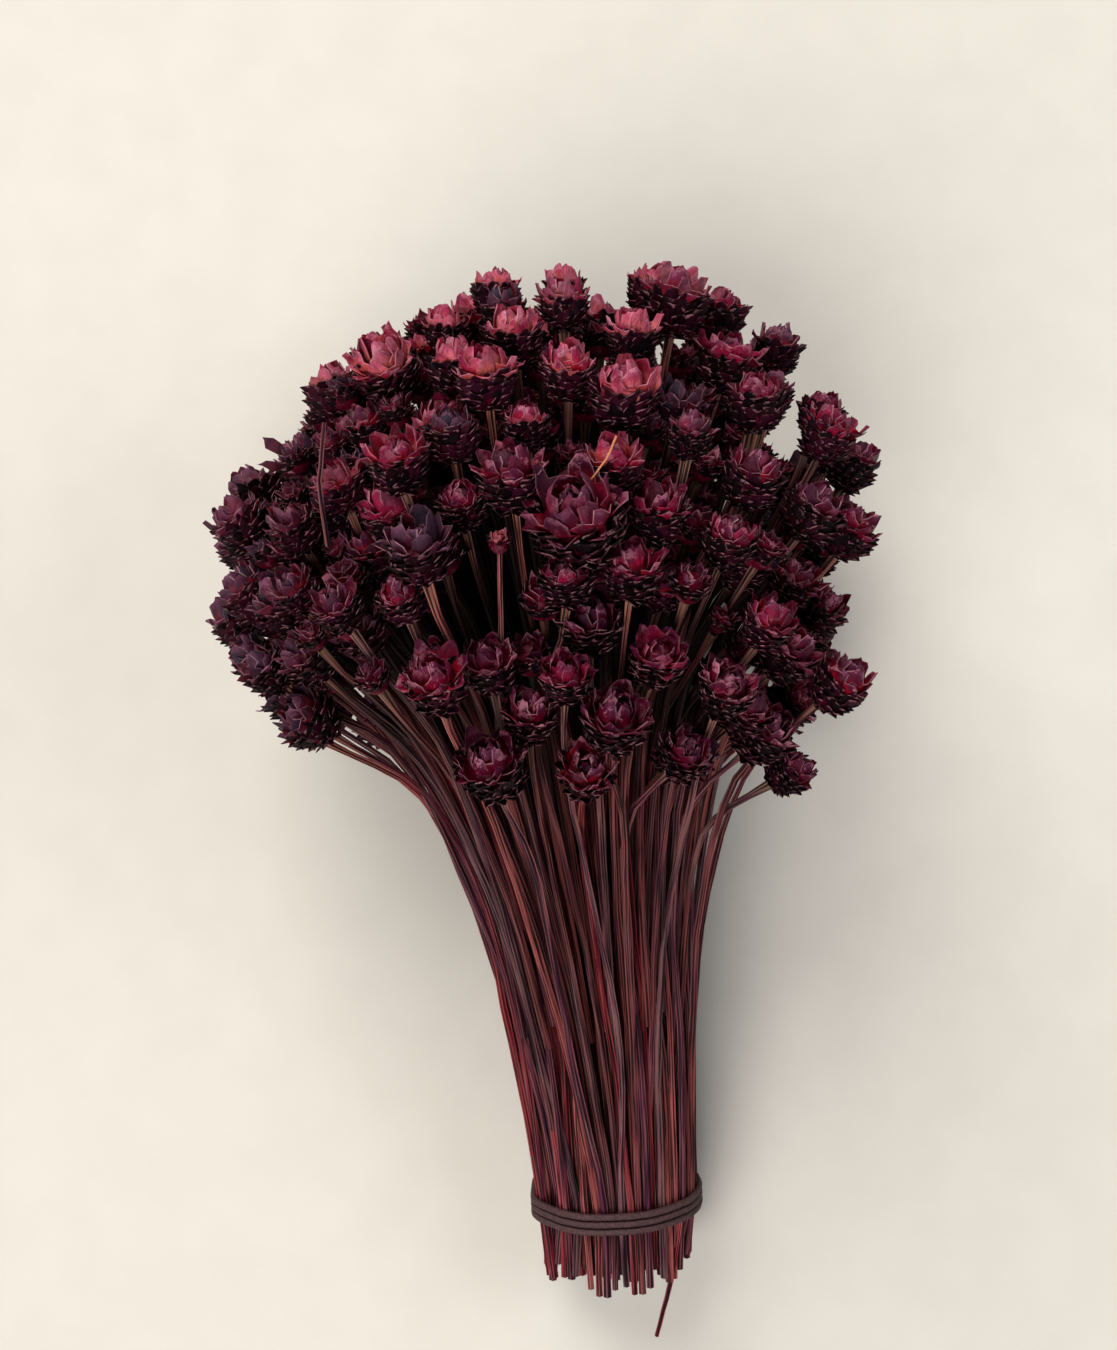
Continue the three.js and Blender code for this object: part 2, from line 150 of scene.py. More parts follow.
def leaveGap(head):  # out of the gap in the front, sideways or along the bunch
    raised = head - Vector((0, 0, bunch["baseHeight"]))
    du = (head.x - gap["u"]) / gap["halfWidth"]
    ds = (raised.dot(alongAxis) - gap["s"]) / gap["halfHeight"]
    distance = hypot(du, ds)
    if distance < 1 and raised.dot(towardsFace) > gap["behind"]:
        further = 1 / distance - 1
        head += turned(du * further * gap["halfWidth"], ds * further * gap["halfHeight"], 0)


def pressApart(flowers):
    spacing = bunch["headSpacing"]
    for _ in range(bunch["spacingRounds"]):
        for i, flower in enumerate(flowers):
            for other in flowers[i + 1:]:
                between = other.head - flower.head
                lacking = spacing - between.length
                if lacking > 0:
                    between *= bunch["spacingPush"] * lacking / between.length
                    other.head += between
                    flower.head -= between
            leaveGap(flower.head)
            flower.head.z = max(flower.head.z, bunch["floorRest"])


def headSizes(flowers):
    for flower in flowers:
        nearest = min((other.head - flower.head).length for other in flowers if other is not flower)
        wanted = mix(bunch["least"], bunch["most"], draw(flower.flower, 6))
        flower.radius = min(wanted, nearest / 2 - bunch["gap"])
        flower.cup = flower.head - bunch["cupAt"] * flower.radius * flower.facing


def stemPoints(flower, cut, straight):
    neck = flower.head - bunch["headMiddle"] * flower.radius * flower.facing
    length = (straight - neck).length
    inBundle = placed(bunch["bulge"] * bunch["halfWidth"] * flower.ring * cos(flower.azimuth),
                      bunch["straightEnd"] + bunch["bulgeAt"] * length,
                      bunch["bulge"] * bunch["halfDepth"] * flower.ring * sin(flower.azimuth))
    underHead = neck - bunch["underHead"] * length * flower.facing
    return [cut] + interpolate_bezier(straight, inBundle, underHead, neck, bunch["stemSteps"])


def gatherSprays(flowers):
    def bandEdge(band):
        sprays = bunch["flowers"] / bunch["perSpray"]
        return bunch["perSpray"] * math.floor(sprays * (band / bunch["bands"]) ** 2 + 0.5)

    sprays = []
    for band in range(bunch["bands"]):
        members = sorted(flowers[bandEdge(band):bandEdge(band + 1)], key=lambda f: f.azimuth)
        for first in range(0, len(members), bunch["perSpray"]):
            spray = members[first:first + bunch["perSpray"]]
            middle = sum(f.azimuth for f in spray) / len(spray)
            reach = 0 if band == 0 else bunch["bandReach"] * (band + bunch["bandMiddle"]) / bunch["bands"]
            for i, flower in enumerate(spray):
                side = i - (bunch["perSpray"] - 1) / 2
                row = side * bunch["rowAtTie"]
                u = reach * bunch["waistWidth"] * cos(middle) - row * sin(middle)
                w = reach * bunch["waistDepth"] * sin(middle) + row * cos(middle)
                cutAt = (bunch["cutSpread"] * draw(first, band)
                         + abs(side) * (bunch["cutAside"] + draw(flower.flower, 9)))
                flower.spray = len(sprays)
                flower.path = stemPoints(flower, placed(u, cutAt, w), placed(u, bunch["straightEnd"], w))
                flower.curve = [corner.copy() for corner in flower.path]
            sprays.append(spray)
    return sprays


def nearestPoints(a0, a1, b0, b1):
    a, b, between = a1 - a0, b1 - b0, a0 - b0
    aa, bb, ab, af, bf = a.dot(a), b.dot(b), a.dot(b), a.dot(between), b.dot(between)
    spread = aa * bb - ab * ab
    onA = clamp((ab * bf - af * bb) / spread) if spread > 1e-6 * aa * bb else 0.5
    onB = clamp((ab * onA + bf) / bb)
    onA = clamp((ab * onB - af) / aa)
    return onA, onB, b0 + b * onB - (a0 + a * onA)


def apart(a0, a1, b0, b1):  # the same for two whole lists of steps, as a table of distances
    a, b = (a1 - a0)[:, None], (b1 - b0)[None]
    between = a0[:, None] - b0[None]
    aa, bb, ab = (a * a).sum(2), (b * b).sum(2), (a * b).sum(2)
    af, bf = (a * between).sum(2), (b * between).sum(2)
    spread = aa * bb - ab * ab
    crossing = np.clip((ab * bf - af * bb) / np.maximum(spread, 1e-9), 0, 1)
    onA = np.where(spread > 1e-6 * aa * bb, crossing, 0.5)
    onB = np.clip((ab * onA + bf) / bb, 0, 1)
    onA = np.clip((ab * onB - af) / aa, 0, 1)
    return np.linalg.norm(between + a * onA[..., None] - b * onB[..., None], axis=2)


def shiftStep(path, step, share, way):
    for corner, weight in ((step, 1 - share), (step + 1, share)):
        if 0 < corner < bunch["stemSteps"]:
            path[corner] += way * max(weight, bunch["leastShift"])


def settle(path):  # inside the tie and above the surface
    atTie = path[1]
    w = (atTie.z - bunch["baseHeight"]) * cos(bunch["tilt"]) - atTie.y * sin(bunch["tilt"])
    reach = hypot(atTie.x / bunch["waistWidth"], w / bunch["waistDepth"])
    if reach > 1:
        atTie += turned((1 / reach - 1) * atTie.x, 0, (1 / reach - 1) * w)
    for corner in path[2:]:
        corner.z = max(corner.z, bunch["stemFloor"])


def tables(flowers):  # the starts and ends of all steps, and the heads and their radii
    paths = np.array([flower.path for flower in flowers])
    return (paths[:, :-1].reshape(-1, 3), paths[:, 1:].reshape(-1, 3),
            np.array([flower.head for flower in flowers]), np.array([flower.radius for flower in flowers]))


def bendClear(flowers):  # stems that would run through each other or through a head
    steps = [(flower, step) for flower in flowers for step in range(bunch["stemSteps"])]
    near = []
    for turnNumber in range(bunch["bendRounds"]):
        # Only neighbours can touch before the next look.
        if turnNumber % bunch["lookEvery"] == 0 or turnNumber < bunch["lookEvery"]:
            starts, ends, heads, radii = tables(flowers)
            cups = np.array([flower.cup for flower in flowers])
            close = np.triu(apart(starts, ends, starts, ends) < bunch["stemSpacing"] + bunch["nearStem"], 1)
            blocked = apart(starts, ends, heads, cups) < radii[None] + bunch["nearHead"]
            near = [(flower, step, [steps[j] for j in np.nonzero(close[i])[0]],
                     [flowers[j] for j in np.nonzero(blocked[i])[0]])
                    for i, (flower, step) in enumerate(steps)]
        for flower, step, others, nearHeads in near:
            start, end = flower.path[step], flower.path[step + 1]
            for other, otherStep in others:
                grownTogether = other.spray == flower.spray and (step == 0 or otherStep == 0)
                if other is flower or grownTogether:
                    continue
                path = other.path
                onA, onB, way = nearestPoints(start, end, path[otherStep], path[otherStep + 1])
                lacking = bunch["stemSpacing"] - way.length
                if lacking > 0:
                    way.normalize()
                    shiftStep(flower.path, step, onA, way * (-0.5 * lacking))
                    shiftStep(path, otherStep, onB, way * (0.5 * lacking))
            for other in nearHeads:
                if other is not flower:
                    onA, onB, way = nearestPoints(start, end, other.head, other.cup)
                    lacking = other.radius + bunch["headClear"] - way.length
                    if lacking > 0:
                        shiftStep(flower.path, step, onA, way.normalized() * (-bunch["headPush"] * lacking))
        for flower in flowers:
            if turnNumber < bunch["springRounds"]:  # a bent stem springs back a little
                for k in range(2, bunch["stemSteps"]):
                    flower.path[k] = flower.path[k].lerp(flower.curve[k], bunch["springShare"])
            settle(flower.path)


def straighten(flower):  # what a stem is bent aside is spread along it, so that it shows no kinks
    bends = [point - free for point, free in zip(flower.path, flower.curve)]
    for k in range(2, bunch["stemSteps"]):
        flower.path[k] = flower.curve[k] + 0.25 * bends[k - 1] + 0.5 * bends[k] + 0.25 * bends[k + 1]
    if flower.ring > stray["from"]:  # and some of the outer stems stray over their neighbours
        aside = stray["aside"] * 2 * (draw(flower.flower, 16) - 0.5)
        around = turned(-sin(flower.azimuth), 0, cos(flower.azimuth))
        outward = turned(cos(flower.azimuth), 0, sin(flower.azimuth))
        for k, share in stray["at"]:
            flower.path[k] += share * (aside * around + stray["over"] * abs(aside) / stray["aside"] * outward)
            flower.path[k].z = max(flower.path[k].z, bunch["stemFloor"])


flowers = [layOut(i) for i in range(bunch["flowers"])]
pressApart(flowers)
headSizes(flowers)
sprays = gatherSprays(flowers)
bendClear(flowers)
for flower in flowers:
    straighten(flower)
print("laid out:", len(flowers), "flowers in", len(sprays), "sprays")


# Younger heads in two layers under the others, where there is room for them.

inner = {
    "layers": ((128, 0.87, 112), (64, 0.62, 96)),  # how many, how far out, and down to which angle
    "turn": 1.7, "jitter": 0.06, "radius": 4.5, "sizes": (0.85, 0.3), "rounds": 24, "push": 0.35,
    "room": 1.9, "headRoom": 1.0, "stemRoom": 0.9, "bend": 1.6, "firstNumber": 300,
}


def awayFrom(points, starts, ends):  # from every step to every point, as a table of ways
    steps = (ends - starts)[None]
    share = ((points[:, None] - starts[None]) * steps).sum(2) / np.maximum((steps * steps).sum(2), 1e-9)
    return points[:, None] - starts[None] - steps * np.clip(share, 0, 1)[..., None]


def layOutInner():
    starts, ends, heads, sizes = tables(flowers)
    spots = []
    for count, depth, lowest in inner["layers"]:
        for k in range(count):
            polar = math.acos(1 - (1 - cos(radians(lowest))) * (k + 0.5) / count)
            around = k * goldenAngle + inner["turn"]
            size = depth - inner["jitter"] * draw(k, 14)
            dw = sin(polar) * sin(around)
            side = dome["front"] if dw > 0 else dome["back"]
            u = dome["u"] + size * dome["across"] * sin(polar) * cos(around)
            s = dome["s"] + size * dome["along"] * cos(polar)
            beside = abs(u - gap["u"]) >= gap["halfWidth"] or abs(s - gap["s"]) >= gap["halfHeight"]
            if beside or dw <= 0:  # the gap in the front stays open
                spots.append(placed(u, s, size * side * dw))
    spots = np.array(spots)
    for _ in range(inner["rounds"]):
        push = np.zeros_like(spots)
        lacks = []
        for ways, wanted in (
                (spots[:, None] - heads[None], inner["radius"] + inner["headRoom"] * sizes[None]),
                (awayFrom(spots, starts, ends), inner["radius"] + inner["stemRoom"]),
                (spots[:, None] - spots[None], 2 * inner["radius"])):
            far = np.linalg.norm(ways, axis=2)
            lacking = np.where(far > 0, np.maximum(wanted - far, 0), 0)
            push += inner["push"] * (ways / np.maximum(far, 1e-6)[..., None] * lacking[..., None]).sum(1)
            lacks.append(lacking.max(1))
        spots = spots + push
    found = []
    for k, spot in enumerate(spots):
        worst = max(lack[k] for lack in lacks)
        if worst < inner["room"] and spot[2] > inner["radius"]:
            head = Vector(spot)
            near = min(flowers, key=lambda flower: (flower.head - head).length)
            last = bunch["stemSteps"]
            least, more = inner["sizes"]
            radius = inner["radius"] * (least + more * draw(k, 15))
            neck = head - bunch["headMiddle"] * radius * near.facing
            path = [point + (neck - near.path[last]) * (j / last) ** inner["bend"]
                    for j, point in enumerate(near.path)]
            found.append(SimpleNamespace(flower=inner["firstNumber"] + k, head=head, facing=near.facing,
                                         radius=radius, path=path[2:]))
    return found


innerFlowers = layOutInner()
print("inner heads:", len(innerFlowers))


# Materials

class Shade:  # an output socket, so that shader maths reads as plain expressions
    def __init__(self, tree, socket=None):
        self.tree = tree
        self.socket = socket

    def add(self, kind, settings=None, values=None, out=0):
        node = self.tree.nodes.new("ShaderNode" + kind)
        for name, value in (settings or {}).items():
            if name == "stops":
                ramp = node.color_ramp
                while len(ramp.elements) < len(value):
                    ramp.elements.new(1.0)
                for element, (place, colour) in zip(ramp.elements, value):
                    element.position = place
                    element.color = (*colour, 1)
            else:
                setattr(node, name, value)
        wire(node, values or {})
        return Shade(self.tree, node.outputs[out])

    def math(self, operation, first, second=0.0):
        return self.add("Math", {"operation": operation}, {0: first, 1: second})

    def __add__(self, other):
        return self.math("ADD", self, other)

    __radd__ = __add__

    def __sub__(self, other):
        return self.math("SUBTRACT", self, other)

    def __rsub__(self, other):
        return self.math("SUBTRACT", other, self)

    def __mul__(self, other):
        return self.math("MULTIPLY", self, other)

    __rmul__ = __mul__

    def smooth(self, low, high):  # 0 under low, 1 over high
        return self.add("MapRange", {"interpolation_type": "SMOOTHSTEP"}, {0: self, 1: low, 2: high})


def wire(node, values):  # a socket is linked to the input, and anything else is its value
    for name, value in values.items():
        if isinstance(value, Shade):
            value.tree.links.new(value.socket, node.inputs[name])
        else:
            node.inputs[name].default_value = value


def newMaterial(name):
    material = bpy.data.materials.new(name)
    material.use_nodes = True
    shader = material.node_tree.nodes["Principled BSDF"]
    return material, shader, Shade(material.node_tree)


def axes(shade):
    parts = shade.add("SeparateXYZ", values={0: shade})
    return [Shade(shade.tree, parts.socket.node.outputs[i]) for i in range(3)]


def attribute(shade, name):
    return shade.add("Attribute", {"attribute_name": name}, out=1)


def noiseAt(place, scale, detail, roughness=0.5):
    return place.add("TexNoise", values={0: place, "Scale": scale, "Detail": detail, "Roughness": roughness})


def surface(shader, look, colour, rough, relief):
    bumped = relief.add("Bump", values={"Strength": look["bump"], "Distance": look["bumpHeight"],
                                        "Height": relief})
    wire(shader, {"Base Color": colour, "Roughness": rough, "Normal": bumped,
                  "Specular IOR Level": look["specular"]})


def paint(shade, over, under, share):  # one colour over another, each plain or painted already
    under, over = [(*colour, 1) if isinstance(colour, tuple) else colour for colour in (under, over)]
    return shade.add("Mix", {"data_type": "RGBA"}, {0: share, 6: under, 7: over}, out=2)


bractLook = {
    "wine": (0.058, 0.0004, 0.0100), "crimson": (0.315, 0.0070, 0.0470), "rose": (0.580, 0.107, 0.180),
    "salmonGlow": (0.800, 0.215, 0.150), "ember": (0.430, 0.0050, 0.0130), "plum": (0.050, 0.006, 0.030),
    "mauve": (0.300, 0.100, 0.180), "ash": (0.026, 0.019, 0.034), "rim": (0.500, 0.230, 0.270),
    "sheen": (0.480, 0.175, 0.235), "foot": (0.0090, 0.0003, 0.0022), "old": (0.017, 0.0020, 0.0095),
    "scale": (0.0040, 0.0005, 0.0020), "scaleWine": (0.038, 0.0020, 0.0125),
    "scaleRim": (0.380, 0.165, 0.195), "roughness": 0.46, "specular": 0.10, "bump": 0.7, "bumpHeight": 0.0004,
    "glow": 0.18, "glowRadius": (1.0, 0.22, 0.16), "glowDepth": 0.0012,
}


def bractMaterial():
    look = bractLook
    material, shader, shade = newMaterial("dried_bract")
    across, along = axes(attribute(shade, "blade"))[:2]
    ring, tint, other = axes(attribute(shade, "part"))
    tone, mauve, vivid = axes(attribute(shade, "head"))

    veinAt = shade.add("CombineXYZ", values={0: across * 1.3 + tint * 40, 1: along * 0.45,
                                             2: ring * 7 + other * 31})
    veins = noiseAt(veinAt, 3.6, 5.0, 0.65)
    objectAt = shade.add("TexCoord", out=3)
    patches = noiseAt(objectAt, 460.0, 3.0)
    fine = noiseAt(objectAt, 2400.0, 2.0)
    edge = across.math("ABSOLUTE", across)
    isBract = ring.smooth(0.52, 0.58)
    mottle = (patches - 0.5) * 0.7 + (veins - 0.5) * 0.5

    ripe = (tone + (tint - 0.5) * 0.7 + mottle).smooth(0.05, 0.62)
    rosy = (tone + (tint - 0.5) * 0.5 + mottle).smooth(0.60, 1.14)
    body = paint(shade, look["crimson"], look["wine"], ripe)
    body = paint(shade, look["rose"], body, rosy * 0.85)
    # At the bracts' bases: ember red, partly their own colour and partly painted glow of light through them,
    # most on the vivid heads; the salmon on the rosy heads is painted glow.
    low = 1 - (along + mottle * 0.4).smooth(0.20, 0.78)
    glow = 1 - (along + mottle * 0.6).smooth(0.30, 0.95)
    footed = paint(shade, look["ember"], body, low * (0.10 + 0.90 * vivid.smooth(0.35, 0.85)))
    footed = paint(shade, look["salmonGlow"], footed, glow * rosy * (0.35 + 0.65 * vivid))
    streaked = paint(shade, look["wine"], footed, veins.smooth(0.46, 0.66) * 0.72)
    high = (along + mottle * 0.5).smooth(0.45, 1.0)
    tipped = paint(shade, look["plum"], streaked, high * (1 - rosy) * 0.6)
    atTip = (along + mottle * 0.6).smooth(0.72, 1.02)
    mauveTip = other * other * (0.30 + rosy * 0.30) + mauve * 0.35
    tipped = paint(shade, look["mauve"], tipped, atTip * mauveTip)
    # Painted highlight: spots of sheen on the bracts, stronger on the rosy heads.
    sheenSpots = (patches * 0.7 + fine * 0.3 + (along - 0.5) * 0.12).smooth(0.555, 0.61)
    sheenShare = sheenSpots * (0.08 + (0.48 + rosy * 0.22) * other) * (1 - mauve * 0.6)
    tipped = paint(shade, look["sheen"], tipped, sheenShare)
    aged = paint(shade, look["old"], tipped, (tint + mottle * 0.3).smooth(0.66, 0.88) * (0.85 - rosy * 0.5))
    greyed = paint(shade, look["ash"], aged, mauve * (0.45 + 0.5 * tint))
    # Painted shade: the bracts darken towards their bases, less on the rosy and vivid heads.
    shaded = (1 - along.smooth(0.08, 0.50)) * (0.85 - rosy * 0.45 - vivid * 0.2)
    greyed = paint(shade, look["foot"], greyed, shaded)
    # Pale bract edges: partly their own paler margins, partly painted highlight.
    rimmed = paint(shade, look["rim"], greyed, edge.smooth(0.88, 1.0) * along.smooth(0.3, 0.7) * other * 0.45)

    scaleTint = (tint + vivid * 0.5 + mottle).smooth(0.55, 1.25) * 0.72
    scaleBody = paint(shade, look["scaleWine"], look["scale"], scaleTint)
    # Pale scale edges: partly their own paler margins, partly painted highlight.
    edged = (along * 0.8 + edge * 0.4 + (fine - 0.5) * 0.6 + (patches - 0.5) * 0.5).smooth(0.95, 1.12)
    scaleEdge = paint(shade, look["scaleRim"], scaleBody, edged * (0.10 + 0.62 * other))
    colour = paint(shade, rimmed, scaleEdge, isBract)

    rough = look["roughness"] + (fine - 0.5) * 0.25 + (1 - isBract) * 0.10
    surface(shader, look, colour, rough, veins * 0.8 + fine * 0.4 + patches)
    wire(shader, {"Subsurface Weight": look["glow"], "Subsurface Radius": look["glowRadius"],
                  "Subsurface Scale": look["glowDepth"]})
    return material


stemLook = {
    "russet": (0.270, 0.056, 0.052), "red": (0.225, 0.013, 0.024), "brown": (0.120, 0.024, 0.032),
    "grey": (0.125, 0.064, 0.074), "plum": (0.070, 0.012, 0.034), "dark": (0.0040, 0.0002, 0.0008),
    "ridge": (0.460, 0.160, 0.125), "neck": (0.300, 0.165, 0.105), "pith": (0.340, 0.190, 0.130),
    "straw": (0.600, 0.230, 0.095), "roughness": 0.55, "specular": 0.14, "bump": 0.7, "bumpHeight": 0.0004,
}


def stemMaterial():
    look = stemLook
    material, shader, shade = newMaterial("dried_stem")
    grain = attribute(shade, "grain")
    tone, neck, bright = axes(attribute(shade, "stemPart"))
    rib, end, upper = axes(attribute(shade, "stemDetail"))
    fibreAt = shade.add("VectorMath", {"operation": "MULTIPLY"}, {0: grain, 1: (1.0, 1.0, 0.02)})
    noise = noiseAt(fibreAt, 2.3, 2.0, 0.55)
    fibres = noise + (0.5 - rib) * 0.17  # grooves lie between the ribs
    blotchAt = shade.add("VectorMath", {"operation": "MULTIPLY"}, {0: grain, 1: (0.4, 0.4, 0.07)})
    blotches = noiseAt(blotchAt, 1.3, 3.0)
    kind = tone + (blotches - 0.5) * 0.45

    base = shade.add("ValToRGB", {"stops": [
        (0.10, look["plum"]), (0.20, look["grey"]), (0.34, look["brown"]), (0.54, look["russet"]),
        (0.74, look["plum"]), (0.94, look["red"])]}, {0: kind})
    # Lighter ribs and darker grooves: partly the stems' own streaked fibres, partly painted highlight on the
    # ribs and painted shade in the grooves.
    ridged = paint(shade, look["ridge"], base, (1 - fibres.smooth(0.38, 0.48)) * (0.28 + upper * 0.5))
    necked = paint(shade, look["neck"], ridged, neck * 0.7)
    lined = paint(shade, look["dark"], necked, fibres.smooth(0.50, 0.58) * 0.93)
    ended = paint(shade, look["pith"], lined, end.smooth(0.2, 0.9) * (0.9 - noise.smooth(0.4, 0.6) * 0.5))
    ended = paint(shade, look["straw"], ended, end.smooth(1.2, 1.8))
    # Painted shade: stems darken by their shade values, inside the bundle and under the dome.
    colour = paint(shade, look["dark"], ended, (1 - bright) * 0.985)
    rough = look["roughness"] + (fibres - 0.5) * 0.3
    surface(shader, look, colour, rough, 1 - fibres)
    return material


bractFinish = bractMaterial()
stemFinish = stemMaterial()
print("materials made")


# Heads: every scale and bract is a thin pointed blade, set in rings round a cup. A blade's half
# widths run from its base to its tip; it is hollowed across, bulges, and bends in at the tip.

bladeKeys = ("columns", "halves", "drop", "hollow", "bulge", "bend", "thick", "ragged")
blades = {name: dict(zip(bladeKeys, row)) for name, *row in (
    ("scale", 2, (0.42, 0.46), 0.30, 0.30, 0.0, -0.12, 0.07, 0.34),
    ("flared", 2, (0.30, 0.50, 0.45, 0.12), 0.13, 0.24, 0.05, 0.02, 0.035, 0.30),
    ("cupped", 2, (0.32, 0.48, 0.50, 0.40, 0.15), 0.13, 0.22, 0.10, 0.14, 0.03, 0.27),
    ("closing", 3, (0.34, 0.47, 0.50, 0.43, 0.19), 0.13, 0.22, 0.10, 0.30, 0.03, 0.24))}
bladeLayers = ["blade", "part", "head"]
bladeLook = {"variants": 6, "twist": 0.5, "curl": 0.60, "sway": 0.12, "uneven": 0.5, "crease": 0.9}


def makeBlade(name, number):  # x across, y from base to tip, z outwards, one unit wide and long
    shape = blades[name]
    rows = len(shape["halves"]) - 1
    bm = bmesh.new()
    bladeAt = bm.verts.layers.float_vector.new("blade")
    bmesh.ops.create_grid(bm, x_segments=shape["columns"], y_segments=rows, size=0.5)
    bmesh.ops.translate(bm, vec=(0, 0.5, 0), verts=bm.verts)
    bmesh.ops.solidify(bm, geom=bm.faces, thickness=shape["thick"])
    twist = bladeLook["twist"] * (draw(number, 30) - 0.5)
    for v in bm.verts:
        x, y, z = 2 * v.co.x, v.co.y, v.co.z
        v[bladeAt] = (x, y, z / shape["thick"])
        row = round(y * rows)
        dice = draw(row * 7 + round(3 * x) + 4, 20 + number) - 0.5
        half = shape["halves"][row] * (1 + shape["ragged"] * 2 * dice * abs(x))
        curling = draw(row * 5 + round(3 * x) + 9, 40 + number) - 0.5
        curl = bladeLook["curl"] * shape["ragged"] * y * curling
        v.co.x = x * half + bladeLook["sway"] * y * y * (draw(number, 31) - 0.5)
        v.co.y = (y + shape["ragged"] * bladeLook["uneven"] * dice * (row > 0)
                  - shape["drop"] * abs(x) * (row / rows) ** 2)
        v.co.z = (z - shape["hollow"] * (2 * x * half) ** 2 + shape["bulge"] * 4 * y * (1 - y)
                  - shape["bend"] * y * y + twist * x * half * y + curl)
    bmesh.ops.recalc_face_normals(bm, faces=bm.faces)
    smoothFaces(bm)
    return asMesh(bm, name)


def smoothFaces(bm):  # only across gentle bends, so that a blade's two sides keep their own shading
    for face in bm.faces:
        face.smooth = True
    for edge in bm.edges:
        edge.smooth = edge.calc_face_angle(0.0) < bladeLook["crease"]


def makeCore():  # what the rings of scales sit on
    bm = bmesh.new()
    bladeAt = bm.verts.layers.float_vector.new("blade")
    bmesh.ops.create_uvsphere(bm, u_segments=9, v_segments=6, radius=1)
    for v in bm.verts:
        v[bladeAt] = (0, 0.5, 0)
    smoothFaces(bm)
    return asMesh(bm, "core")


def newPieceMesh(layers):
    bm = bmesh.new()
    for name in layers:
        bm.verts.layers.float_vector.new(name)
    return bm


def asMesh(bm, name):
    mesh = bpy.data.meshes.new(name)
    bm.to_mesh(mesh)
    bm.free()
    return mesh


bladeMeshes = {name: [makeBlade(name, i) for i in range(bladeLook["variants"])] for name in blades}
coreMesh = makeCore()

# In head radii: height above the head's middle, distance from its axis, lean out in degrees, length
# and width. Pairs are for a closed head and an open one; every head is somewhere between.
rings = [
    dict(zip(("blade", "count", "height", "out", "lean", "long", "wide"), row)) for row in (
        ("scale", 7, -1.02, 0.20, 70, 0.34, 0.36),
        ("scale", 10, -0.93, 0.36, 54, 0.36, 0.38),
        ("scale", 12, -0.80, 0.51, 40, 0.38, 0.40),
        ("scale", 13, -0.64, 0.62, 28, 0.40, 0.42),
        ("scale", 14, -0.47, 0.69, 22, 0.40, 0.43),
        ("scale", 14, -0.29, 0.71, 20, 0.40, 0.44),
        ("scale", 12, -0.12, 0.68, 24, 0.42, 0.46),
        ("flared", 7, -0.10, 0.58, (20, 58), (0.64, 0.60), 0.54),
        ("cupped", 6, -0.14, 0.50, (10, 40), (0.86, 0.80), 0.64),
        ("closing", 5, -0.12, 0.40, (4, 26), (1.00, 0.88), 0.66),
        ("closing", 4, -0.08, 0.28, (1, 16), (1.00, 0.76), 0.60),
        ("cupped", 3, 0.00, 0.12, (-2, 8), (0.80, 0.56), 0.44))
]
innerRings = [
    {**rings[4], "count": 9, "wide": 0.52}, {**rings[5], "count": 9, "wide": 0.52}, {**rings[6], "count": 8},
    {**rings[8], "blade": "flared", "count": 5}, {**rings[9], "blade": "flared", "count": 4},
    {**rings[10], "blade": "flared", "count": 3},
]
headLook = {
    "scale": 1.16, "jitter": 13.0, "turn": 0.5, "upright": 0.24, "uneven": 0.35, "unevenHeight": 0.05,
    "long": (0.78, 0.40), "wide": (0.82, 0.34),  # the least, and how much more by chance
    "coreHeight": -0.30, "coreSize": 0.68, "corePart": (0.62, 0.1, 0.1), "coreTones": (0.0, 0.0, 0.3),
    "openPower": 1.2, "young": 0.74, "youngUntil": 3.5,
}


def opened(value, share):  # a pair stands for a closed head and an open one
    return mix(*value, share) if isinstance(value, tuple) else value


def addCopy(bm, mesh, matrix, part, look):  # nothing is ever deleted here, so a copy's vertices come last
    before = len(bm.verts)
    bm.from_mesh(mesh)
    bm.verts.ensure_lookup_table()
    fresh = bm.verts[before:]
    bmesh.ops.transform(bm, matrix=matrix, verts=fresh)
    partLayer = bm.verts.layers.float_vector["part"]
    headLayer = bm.verts.layers.float_vector["head"]
    for v in fresh:
        v[partLayer] = part
        v[headLayer] = look


